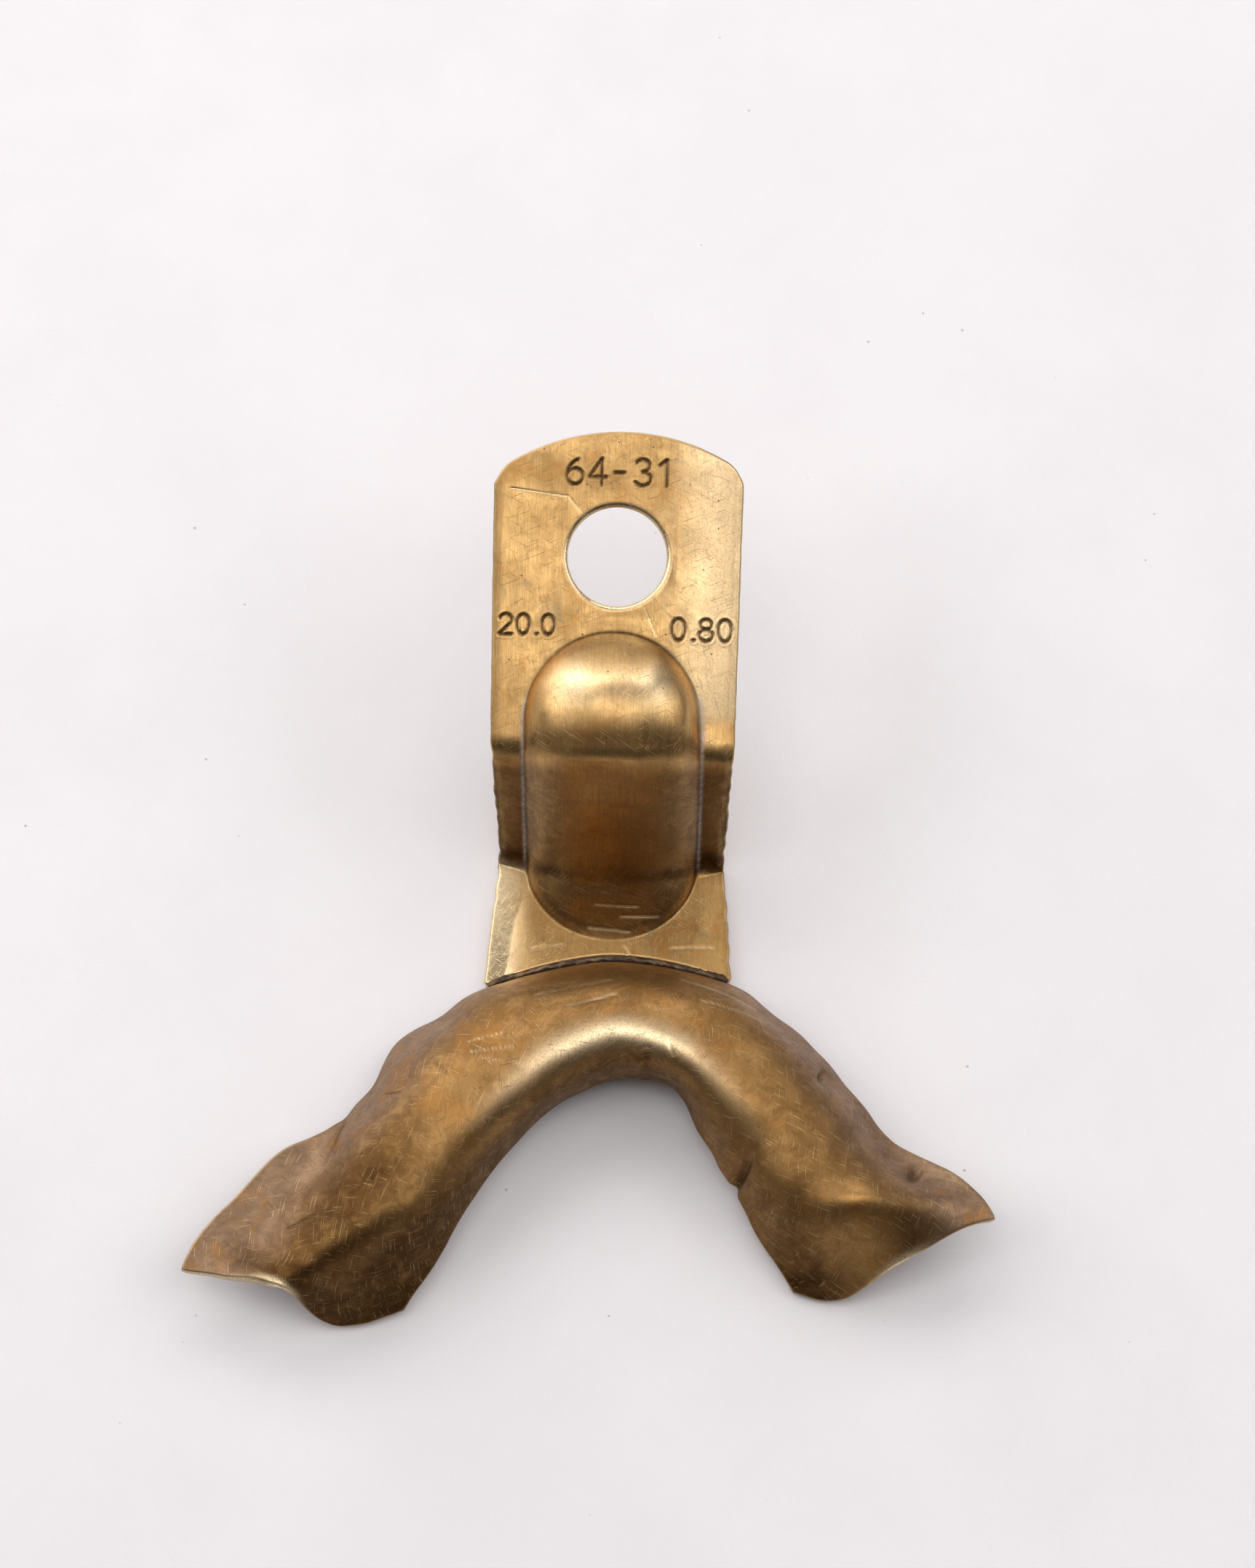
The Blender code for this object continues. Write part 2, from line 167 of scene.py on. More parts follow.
# Camera and lights. The camera looks at CAMERA_TARGET, and its sizes are in millimetres.
LENS = 88.5
SENSOR_HEIGHT = 36.0
CAMERA_DISTANCE = 322.0
CAMERA_ELEVATION = math.radians(68)
CAMERA_TURN = math.radians(1.55)
CAMERA_TARGET = (1.91, 13.48, 0.0)
ROOM_DARK = (0.012, 0.011, 0.011)
ROOM_CEILING = (0.035, 0.034, 0.034)
BOARD_REACH = 1.5        # half the backdrop's side, in metres
FLOOR_GAP = 0.00001      # the board lies this far under the tray, in metres
LIGHT_DISTANCE = 0.75
LIGHT_TARGET = (0.0, 0.0, 0.01)
LIGHT_COLOR = (1.0, 0.98, 0.985)
# Name, tilt from overhead and azimuth in degrees, size across and up in metres, brightness.
SOFTBOXES = (
    ("overhead_softbox", 8, 225, (0.60, 0.34), 2.75),
    ("fill_softbox", 22, 5, (0.44, 0.30), 1.60),
    ("left_softbox", 49, 176, (0.52, 0.34), 2.85),
    ("low_left_softbox", 67, 150, (0.60, 0.28), 2.10),
    ("right_softbox", 50, 10, (0.66, 0.36), 2.30),
    ("back_softbox", 46, 100, (0.86, 0.30), 3.00),
    ("window", 82, 105, (1.40, 0.32), 1.40),
)


# ---------------------------------------------------------------- curves and noise

def curve_through(points, cuts):
    """Catmull-Rom curve through points of any shape, with that many steps between neighbours."""
    points = np.asarray(points, float)
    before = 2 * points[:1] - points[1:2]
    after = 2 * points[-1:] - points[-2:-1]
    padded = np.concatenate([before, points, after])
    steps = []
    for i in range(len(points) - 1):
        a, b, c, d = padded[i:i + 4]
        for k in range(cuts):
            t = k / cuts
            steps.append(b + 0.5 * t * ((c - a) + t * (2 * a - 5 * b + 4 * c - d
                                                       + t * (3 * b - a - 3 * c + d))))
    steps.append(points[-1])
    return np.array(steps)


def smooth_step(value):
    value = np.clip(value, 0.0, 1.0)
    return value * value * (3.0 - 2.0 * value)


def waves(x, y, wavelength, seed, count=16):
    """Smooth seeded noise, about -1.5 to 1.5, made of sine waves that run in many directions."""
    random = np.random.default_rng(seed)
    total = np.zeros(np.broadcast(x, y).shape)
    for _ in range(count):
        angle, phase = random.uniform(0, 2 * math.pi, 2)
        turn = 2 * math.pi / (wavelength * random.uniform(0.7, 1.6))
        total += np.sin(turn * (x * math.cos(angle) + y * math.sin(angle)) + phase)
    return total / math.sqrt(count / 2)


def gauss(distance, width):
    return np.exp(-(distance / width) ** 2)


def blob(x, y, mark):
    """A stretched bell round (x, y): mark is (x, y, half length, half width, angle in degrees)."""
    angle = math.radians(mark[4])
    along = (x - mark[0]) * math.cos(angle) + (y - mark[1]) * math.sin(angle)
    aside = (y - mark[1]) * math.cos(angle) - (x - mark[0]) * math.sin(angle)
    return np.exp(-(along / mark[2]) ** 2 - (aside / mark[3]) ** 2)


class RoundedPath:
    """Straight runs joined by arcs, in a side view, measured along its length."""

    def __init__(self, corners, radii):
        corners = [Vector(c) for c in corners]
        self.pieces = []
        self.length = 0.0
        self.corner_marks = [0.0]
        start = corners[0]
        for i, radius in enumerate(radii, 1):
            inward = (corners[i] - corners[i - 1]).normalized()
            outward = (corners[i + 1] - corners[i]).normalized()
            turn = inward.angle_signed(outward)
            cut = radius * math.tan(abs(turn) / 2)
            arc_start = corners[i] - inward * cut
            self.add_run(start, arc_start)
            self.corner_marks.append(self.length + radius * abs(turn) / 2)
            self.add_arc(arc_start, inward, radius, turn)
            start = corners[i] + outward * cut
        self.add_run(start, corners[-1])
        self.corner_marks.append(self.length)
        self.marks = np.linspace(-4.0, self.length, 3000)
        self.points = np.array([self.at(mark) for mark in self.marks])

    def add_run(self, start, stop):
        direction = (stop - start).normalized()
        self.pieces.append((self.length, lambda d: start + direction * d))
        self.length += (stop - start).length

    def add_arc(self, start, direction, radius, turn):
        side = -1.0 if turn > 0 else 1.0
        left = Vector((-direction.y, direction.x)) * side
        centre = start + left * radius

        def point(d):
            angle = d / radius
            return centre - left * radius * math.cos(angle) + direction * radius * math.sin(angle)

        self.pieces.append((self.length, point))
        self.length += radius * abs(turn)

    def at(self, distance):
        begin, point = self.pieces[0]
        for candidate_begin, candidate in self.pieces:
            if candidate_begin <= distance:
                begin, point = candidate_begin, candidate
        return point(distance - begin)

    def points_at(self, distances):
        """Side-view points for an array of distances."""
        return np.stack([np.interp(distances, self.marks, self.points[:, axis]) for axis in (0, 1)], -1)


# ---------------------------------------------------------------- sheets with thickness

def sheet_normals(points):
    """Unit normals of a grid of points, up from the face that shows."""
    along = np.gradient(points, axis=0)
    across = np.gradient(points, axis=1)
    normal = np.cross(across, along)
    return normal / np.linalg.norm(normal, axis=-1, keepdims=True)


def perimeter(grid):
    """The outer ring of a grid, once round."""
    return np.concatenate([grid[0, :-1], grid[:-1, -1], grid[-1, :0:-1], grid[:0:-1, 0]])


class Shell:
    """Collects the vertices and faces of one closed shell."""

    def __init__(self):
        self.blocks = []
        self.count = 0
        self.faces = []

    def add(self, block):
        """Adds vertices with their fields, and gives their numbers in the same layout."""
        numbers = self.count + np.arange(block[..., 0].size).reshape(block.shape[:-1])
        self.blocks.append(block.reshape(-1, WIDTH))
        self.count += numbers.size
        return numbers

    def cover(self, grid, keep, flip):
        """Quads over a grid, where keep says so."""
        corners = [grid[:-1, :-1], grid[:-1, 1:], grid[1:, 1:], grid[1:, :-1]]
        if flip:
            corners.reverse()
        quads = np.stack(corners, -1)[keep]
        self.faces += quads.reshape(-1, 4).tolist()

    def join(self, ring, next_ring, flip=False):
        """Faces between two rings; the next one has as many vertices, or half as many."""
        stride = len(ring) // len(next_ring)
        turned = np.roll(next_ring, -1)
        for k in range(len(next_ring)):
            near = [int(ring[(k * stride + i) % len(ring)]) for i in range(stride + 1)]
            far = [int(next_ring[k]), int(turned[k])]
            self.faces.append(near + far[::-1] if flip else near[::-1] + far)

    def make(self, name, material, shift):
        values = np.concatenate(self.blocks)
        mesh = bpy.data.meshes.new(name)
        mesh.from_pydata(((values[:, :3] + shift) * MM).tolist(), [], self.faces)
        place = np.zeros((len(values), 3), np.float32)
        place[:, :2] = values[:, 3:5]
        place[:, 2] = values[:, UNDERSIDE] * UNDERSIDE_OFFSET
        attribute = mesh.attributes.new("sheet_place", "FLOAT_VECTOR", "POINT")
        attribute.data.foreach_set("vector", place.ravel())
        for column, field in enumerate(FIELDS, 5):
            attribute = mesh.attributes.new(field, "FLOAT", "POINT")
            attribute.data.foreach_set("value", values[:, column].astype(np.float32))
        mesh.materials.append(material)
        mesh.shade_smooth()
        thing = bpy.data.objects.new(name, mesh)
        bpy.context.scene.collection.objects.link(thing)
        return thing


def close_sheet(top, patch=None, hole_edge=None):
    """A closed shell from the top face's grid: underside, rounded sheared edges and one hole.

    patch is (first row, last row, first column, last column) of the square round the hole, and
    hole_edge gives points on the flat plate for a direction and a radius.
    """
    shell = Shell()
    normals = sheet_normals(top[..., :3])
    below = top.copy()
    below[..., :3] -= SHEET * normals
    below[..., UNDERSIDE] = 1.0
    below[..., RESIDUE] = 0.0
    top_numbers = shell.add(top)
    below_numbers = shell.add(below[::2, ::2])
    keep_top = np.ones((top.shape[0] - 1, top.shape[1] - 1), bool)
    keep_below = np.ones((top.shape[0] // 2, top.shape[1] // 2), bool)
    if patch:
        r0, r1, c0, c1 = patch
        keep_top[r0:r1, c0:c1] = False
        keep_below[r0 // 2:r1 // 2, c0 // 2:c1 // 2] = False
    shell.cover(top_numbers, keep_top, flip=False)
    shell.cover(below_numbers, keep_below, flip=True)

    ring = perimeter(top)
    ring_normals = perimeter(normals)
    tangent = np.roll(ring[:, :3], -1, 0) - np.roll(ring[:, :3], 1, 0)
    outward = np.cross(tangent, ring_normals)
    outward /= np.linalg.norm(outward, axis=1, keepdims=True)
    last = perimeter(top_numbers)
    for step in range(1, EDGE_LOOPS):
        angle = math.pi * step / EDGE_LOOPS
        drop = SHEET / 2 * (1 - math.copysign(abs(math.cos(angle)) ** 0.8, math.cos(angle)))
        bulge = SHEARED_BULGE * math.sin(angle) ** 0.7
        loop = ring.copy()
        loop[:, :3] += outward * bulge - ring_normals * drop
        loop[:, UNDERSIDE] = 0.5 * step / EDGE_LOOPS
        # The sheared edges are lightened: partly worn bare metal, partly a painted sheen.
        loop[:, WEAR_AND_HIGHLIGHT] = np.maximum(loop[:, WEAR_AND_HIGHLIGHT], 0.55 * math.sin(angle))
        numbers = shell.add(loop)
        shell.join(last, numbers)
        last = numbers
    shell.join(last, perimeter(below_numbers))

    if patch:
        close_hole(shell, top, normals, patch, hole_edge, top_numbers, below_numbers)
    return shell


# Rolled edge of the hole: radius past its wall, depth below the plate's face, and how bare it is.
HOLE_PROFILE = ((0.38, 0.01, 0.2), (0.26, 0.04, 0.6), (0.15, 0.10, 0.8), (0.06, 0.19, 0.5),
                (0.01, 0.30, 0.2), (0.0, 0.45, 0.0), (0.0, 0.62, 0.0), (0.05, 0.73, 0.2),
                (0.16, 0.79, 0.0), (0.3, 0.80, 0.0))


def close_hole(shell, top, normals, patch, hole_edge, top_numbers, below_numbers):
    """Rings from the square patch in to the punched hole, over its edge and out below."""
    r0, r1, c0, c1 = patch
    square = perimeter(top[r0:r1 + 1, c0:c1 + 1])
    normal = perimeter(normals[r0:r1 + 1, c0:c1 + 1]).mean(0)
    rim = hole_edge(square, HOLE_RADIUS + HOLE_RING_GAP)
    last = perimeter(top_numbers[r0:r1 + 1, c0:c1 + 1])
    for share in np.linspace(1.0, 0.0, HOLE_RINGS)[1:]:
        numbers = shell.add(rim + (square - rim) * share)
        shell.join(numbers, last)
        last = numbers
    for past, depth, bare in HOLE_PROFILE:
        loop = hole_edge(square, HOLE_RADIUS + past)
        loop[:, :3] -= normal * depth
        loop[:, WEAR_AND_HIGHLIGHT] = bare
        loop[:, UNDERSIDE] = float(depth >= SHEET)
        numbers = shell.add(loop)
        shell.join(numbers, last)
        last = numbers
    shell.join(last, perimeter(below_numbers[r0 // 2:r1 // 2 + 1, c0 // 2:c1 // 2 + 1]), flip=True)


# ---------------------------------------------------------------- the trough

def spread_evenly(grid, count, margins):
    """Redraws each line of a grid with evenly spaced points, stopping short of its ends."""
    out = np.empty((count, grid.shape[1], 3))
    for c in range(grid.shape[1]):
        line = grid[:, c]
        distance = np.concatenate([[0.0], np.cumsum(np.linalg.norm(np.diff(line, axis=0), axis=1))])
        first, last = margins(c / (grid.shape[1] - 1))
        wanted = np.linspace(first, distance[-1] - last, count)
        for axis in range(3):
            out[:, c, axis] = np.interp(wanted, distance, line[:, axis])
    return out


# Dents pressed into the trough: (x, y, half length, half width, angle in degrees, depth).
TROUGH_DENTS = (
    (-21.2, -16.3, 1.6, 0.35, 68, 0.22),
    (-20.6, -14.6, 1.4, 0.30, 62, 0.10),
    (-27.7, -26.4, 1.3, 0.9, 20, 0.30),
    (-24.0, -21.5, 2.6, 0.7, 40, 0.15),
    (17.3, -10.7, 0.75, 0.26, 80, 0.42),
    (24.7, -18.6, 1.0, 0.40, 60, 0.40),
    (22.5, -17.2, 1.2, 0.8, 20, 0.15),
    (10.9, -18.9, 1.3, 0.45, 55, 0.60),
    (9.7, -17.3, 1.0, 0.8, 70, -0.20),
    (3.3, -10.1, 0.42, 0.28, 10, 0.30),
    (2.9, -10.4, 0.9, 0.12, -35, 0.12),
    (-12.6, -11.9, 0.9, 0.16, -50, 0.14),
    (-10.9, -6.4, 0.45, 0.16, 80, 0.14),
    (-7.4, -9.3, 0.9, 0.35, 0, -0.10),
    (15.9, -21.2, 1.8, 1.2, 80, 0.12),
    (-17.2, -20.6, 1.6, 1.2, 40, 0.14),
    (-19.8, -23.9, 1.5, 1.0, 30, 0.12),
    (-5.0, -4.6, 2.6, 0.35, 9, 0.08),
    (-1.5, -5.8, 2.0, 0.3, 12, 0.06),
    (9.0, -4.2, 3.0, 0.4, -14, 0.07),
)

# Long scratches on the trough: start (x, y), end (x, y), half width, depth.
TROUGH_SCRATCHES = (
    ((-11.0, -9.5), (-8.1, -8.8), 0.05, 0.04),
    ((-10.7, -10.4), (-7.2, -10.0), 0.05, 0.04),
    ((-9.8, -10.9), (-6.7, -11.4), 0.05, 0.04),
    ((-5.7, -5.3), (0.3, -3.9), 0.10, 0.05),
    ((-3.0, -6.5), (0.7, -5.3), 0.10, 0.05),
    ((4.9, -9.0), (5.4, -10.3), 0.08, 0.05),
    ((6.0, -3.2), (12.0, -4.9), 0.10, 0.05),
    ((7.5, -5.5), (12.5, -6.3), 0.08, 0.04),
    ((-17.4, -13.2), (-16.2, -13.3), 0.10, 0.08),
    ((-19.5, -22.0), (-17.0, -20.4), 0.08, 0.04),
    ((-24.5, -24.3), (-22.5, -23.4), 0.08, 0.05),
)


def line_distance(x, y, start, end):
    """Distance in plan to a straight stroke."""
    dx, dy = end[0] - start[0], end[1] - start[1]
    share = np.clip(((x - start[0]) * dx + (y - start[1]) * dy) / (dx * dx + dy * dy), 0, 1)
    return np.hypot(x - start[0] - share * dx, y - start[1] - share * dy)


def trough_margins_across(share):
    """Room left at the outer and inner rim, which wander a little along the arch."""
    outer = END_MARGIN + 0.10 * abs(math.sin(37 * share)) + 0.10 * abs(math.sin(91 * share + 1))
    inner = END_MARGIN + 0.04 * abs(math.sin(53 * share))
    return outer, inner


def trough_surface():
    dense = curve_through(TROUGH_SECTIONS, CUTS_ALONG)
    dense = curve_through(dense.transpose(1, 0, 2), CUTS_ACROSS)
    across = spread_evenly(dense, TROUGH_COLUMNS, trough_margins_across)
    return spread_evenly(across.transpose(1, 0, 2), TROUGH_ROWS, lambda share: (END_MARGIN, END_MARGIN))


def soften(points, across_passes, along_passes):
    """Rounds a grid of points off, keeping its rims and ends where they are."""
    points = points.copy()
    for _ in range(across_passes):
        points[:, 1:-1] = (points[:, :-2] + 2 * points[:, 1:-1] + points[:, 2:]) / 4
    for _ in range(along_passes):
        points[1:-1] = (points[:-2] + 2 * points[1:-1] + points[2:]) / 4
    return points


def make_trough():
    points = soften(trough_surface(), ROUNDING_ACROSS, ROUNDING_ALONG)
    normals = sheet_normals(points)
    x, y = points[..., 0].copy(), points[..., 1].copy()
    rows, columns = x.shape
    along_share = np.linspace(0.0, 1.0, rows)[:, None] + np.zeros((1, columns))
    across_share = np.linspace(0.0, 1.0, columns)[None, :] + np.zeros((rows, 1))
    wing = smooth_step((np.abs(x) - 10.0) / 10.0)

    bump = 0.035 * waves(x, y, 5.5, 3) * (0.4 + wing) + 0.012 * waves(x, y, 2.2, 4) * (0.5 + wing)
    bump += 0.05 * waves(x, y, 6.0, 9) * wing * smooth_step((0.45 - across_share) / 0.45)
    dented = np.zeros_like(x)
    for mark in TROUGH_DENTS:
        shape = blob(x, y, mark)
        bump -= mark[5] * shape
        dented = np.maximum(dented, shape * min(1.0, abs(mark[5]) / 0.35) * (mark[5] > 0))
    scratched = np.zeros_like(x)
    for start, end, spread, depth in TROUGH_SCRATCHES:
        shape = gauss(line_distance(x, y, start, end), spread)
        bump -= depth * shape
        scratched = np.maximum(scratched, shape)
    near_front = gauss(x, 9.0)
    bump *= smooth_step(across_share / 0.06) * near_front + (1 - near_front)
    points = points + bump[..., None] * normals

    top = np.zeros((rows, columns, WIDTH))
    top[..., :3] = points
    step_along = np.linalg.norm(np.diff(points, axis=0), axis=-1).mean(1)
    top[..., 3] = np.concatenate([[0.0], np.cumsum(step_along)])[:, None]
    step_across = np.linalg.norm(np.diff(points, axis=1), axis=-1).mean(0)
    top[..., 4] = np.concatenate([[0.0], np.cumsum(step_across)])[None, :]
    # Painted shade: the lingual walls are darkened, more on the left wing and less on the right.
    lingual = smooth_step((across_share - 0.69) / 0.16)
    # Painted shade: the trough's ends are darkened, except on the outer flanges.
    end_reach = smooth_step((0.06 - np.minimum(along_share, 1 - along_share)) / 0.05)
    crease = gauss(across_share, 0.055) * smooth_step((11.0 - np.abs(x)) / 2.5)
    flange = smooth_step((0.44 - across_share) / 0.30) * smooth_step((np.abs(x) - 9.0) / 6.0)
    # Painted reflection: the right end's rear facet is kept light, with its darkening taken off.
    right_facet = smooth_step((along_share - 0.84) / 0.08) * smooth_step((across_share - 0.35) / 0.15) \
        * smooth_step((0.85 - across_share) / 0.25)
    # Darker over the wings, less so on the right wing, and lighter on the outer flanges; the dents, the
    # front crease and the rear scratches get real patina.
    tarnish_and_shade = (0.24 + (0.62 - 0.15 * (x > 0)) * wing) * (1 - 0.6 * flange) \
        + (0.55 + 0.10 * (x < -8) - 0.22 * (x > 6)) * lingual + 0.5 * dented + 0.7 * crease \
        + 0.5 * scratched * (y < -12) + 0.25 * end_reach * (1 - flange)
    top[..., TARNISH_AND_SHADE] = np.clip(tarnish_and_shade, 0, 1) * (1 - 0.95 * right_facet)
    # Partly real wear and partly a painted highlight: the arch's crest is lightened toward bare metal.
    crest = gauss(across_share - 0.66, 0.055) * gauss(x - 0.5, 7.0) * (y > -17)
    # Partly real wear and partly a painted highlight along the rims at the trough's two ends.
    rear_edge = gauss(along_share, 0.006) * gauss(across_share - 0.40, 0.10) \
        + gauss(along_share - 1.0, 0.006) * gauss(across_share - 0.45, 0.12)
    top[..., WEAR_AND_HIGHLIGHT] = np.clip(crest + 0.35 * scratched * (y > -12) + 0.9 * rear_edge, 0, 1)
    top[..., FLANGE] = flange
    return top


# ---------------------------------------------------------------- the handle

def arc(cx, cy, rx, ry, start, stop, steps=14):
    """Points on part of an ellipse, angles in degrees."""
    angles = np.radians(np.linspace(start, stop, steps))
    return [(cx + rx * math.cos(a), cy + ry * math.sin(a)) for a in angles]


# Plain engraved digits, one unit high and 0.6 wide, as strokes.
DIGITS = {
    "0": [arc(0.3, 0.5, 0.3, 0.5, 0, 360, 24)],
    "1": [[(0.08, 0.78), (0.34, 1.0), (0.34, 0.0)]],
    "2": [arc(0.3, 0.71, 0.29, 0.29, 165, -35) + [(0.0, 0.0), (0.6, 0.0)]],
    "3": [arc(0.28, 0.76, 0.26, 0.24, 150, -90), arc(0.28, 0.27, 0.31, 0.27, 90, -150)],
    "4": [[(0.46, 0.0), (0.46, 1.0), (0.0, 0.3), (0.64, 0.3)]],
    "6": [arc(0.3, 0.3, 0.3, 0.3, 0, 360, 20), arc(0.66, 0.3, 0.66, 0.7, 112, 180)],
    "8": [arc(0.3, 0.76, 0.24, 0.24, 0, 360, 18), arc(0.3, 0.27, 0.3, 0.27, 0, 360, 20)],
    ".": [[(0.1, 0.03), (0.16, 0.03)]],
    "-": [[(0.08, 0.48), (0.46, 0.48)]],
}
DIGIT_PITCH = 0.86

# Stamped numbers: text, middle across, baseline along the plate from the upper bend, height.
STAMPS = (
    ("64-31", 0.15, 21.35, 2.1),
    ("20.0", -7.0, 9.3, 1.6),
    ("0.80", 6.9, 9.1, 1.75),
)
STROKE = 0.13            # half width of a stamped stroke
STAMP_DEPTH = 0.14


def stamp_depth(across, along):
    """Depth of the stamped numbers, and how far a point is inside a stroke, from 0 to 1."""
    nearest = np.full(across.shape, 9.0)
    for text, middle, baseline, height in STAMPS:
        advances = [DIGIT_PITCH * (0.45 if sign == "." else 1.0) for sign in text]
        left = middle - height * sum(advances) / 2
        reach = (np.abs(across - middle) < height * sum(advances) / 2 + 1) \
            & (np.abs(along - baseline - height / 2) < height)
        u, v = across[reach], along[reach]
        best = nearest[reach]
        for sign, advance in zip(text, advances):
            for stroke in DIGITS[sign]:
                spots = [(left + height * (px + 0.1), baseline + height * py) for px, py in stroke]
                for start, end in zip(spots[:-1], spots[1:]):
                    best = np.minimum(best, line_distance(u, v, start, end))
            left += height * advance
        nearest[reach] = best
    inside = smooth_step(1.25 - nearest / STROKE)
    burr = 0.018 * gauss(nearest - 1.7 * STROKE, 0.6 * STROKE)
    return STAMP_DEPTH * inside - burr, inside


def half_width(distance):
    widths = curve_through(HALF_WIDTHS, WIDTH_CUTS)
    return np.interp(distance, widths[:, 0], widths[:, 1])


def plate_end(across, length):
    """Where the plate ends, for a distance across it: a shallow arc with rounded corners."""
    arc_drop = END_RADIUS - np.sqrt(END_RADIUS ** 2 - (across - END_ARC_MIDDLE) ** 2)
    into_corner = np.maximum(0.0, np.abs(across) - (half_width(length) - END_CORNER))
    corner = END_CORNER - np.sqrt(np.maximum(0.0, END_CORNER ** 2 - into_corner ** 2))
    return length - arc_drop - corner


def boss_inside(across, distance, start, stop):
    """Distance in from the boss's stadium outline, negative outside it."""
    beyond = np.maximum(start + BOSS_HALF_WIDTH - distance, distance - (stop - BOSS_HALF_WIDTH))
    return BOSS_HALF_WIDTH - np.hypot(across, np.maximum(beyond, 0.0))


def boss_share(inside):
    """0 outside the boss, rising steeply at its outline and rounding off to 1 on top."""
    softened = 0.5 * (inside + np.sqrt(inside ** 2 + 0.12 ** 2)) - 0.02
    share = np.clip(softened / BOSS_HALF_WIDTH, 0.0, 1.0)
    return (1.0 - (1.0 - share) ** BOSS_POWER) ** BOSS_ROUNDING


def front_rim_y(x, surface):
    """How far forward the trough's outer rim lies, near the handle."""
    rim = surface[:, 0]
    front = rim[np.abs(rim[:, 0]) < ARCH_FRONT]
    return np.interp(x, front[:, 0], front[:, 1])


# Scratches on the handle: start and end as (across, distance along the strip), half width, depth.
HANDLE_SCRATCHES = (
    ((-1.2, 5.4), (2.3, 5.2), 0.11, 0.10),
    ((0.9, 4.2), (4.0, 4.2), 0.11, 0.10),
    ((-1.7, 3.0), (1.6, 2.7), 0.09, 0.07),
    ((-8.6, 44.1), (-3.9, 43.5), 0.07, 0.05),
    ((2.6, 34.0), (3.2, 32.6), 0.07, 0.04),
    ((1.2, 1.3), (1.6, 0.7), 0.07, 0.05),
    ((-6.5, 0.9), (-3.8, 1.3), 0.08, 0.04),
    ((5.0, 1.2), (8.6, 1.5), 0.08, 0.05),
)


def handle_rows(strip):
    """Distances along the strip: of its straight rows, and of the hole's middle."""
    lower, upper = strip.corner_marks[1:3]
    hole = upper + HOLE_FROM_BEND
    straight = np.concatenate([
        np.arange(lower - 1.4, lower + 1.6, 0.12),
        np.arange(lower + 1.6, upper - 2.4, 0.20),
        np.arange(upper - 2.4, upper + 2.4, 0.13),
        np.arange(upper + 2.4, upper + 8.8, 0.18),
        np.arange(upper + 8.8, upper + 11.4, 0.11),
        np.arange(upper + 11.4, hole + HOLE_PATCH_REACH + 0.01, 0.2),
    ])
    return straight, hole


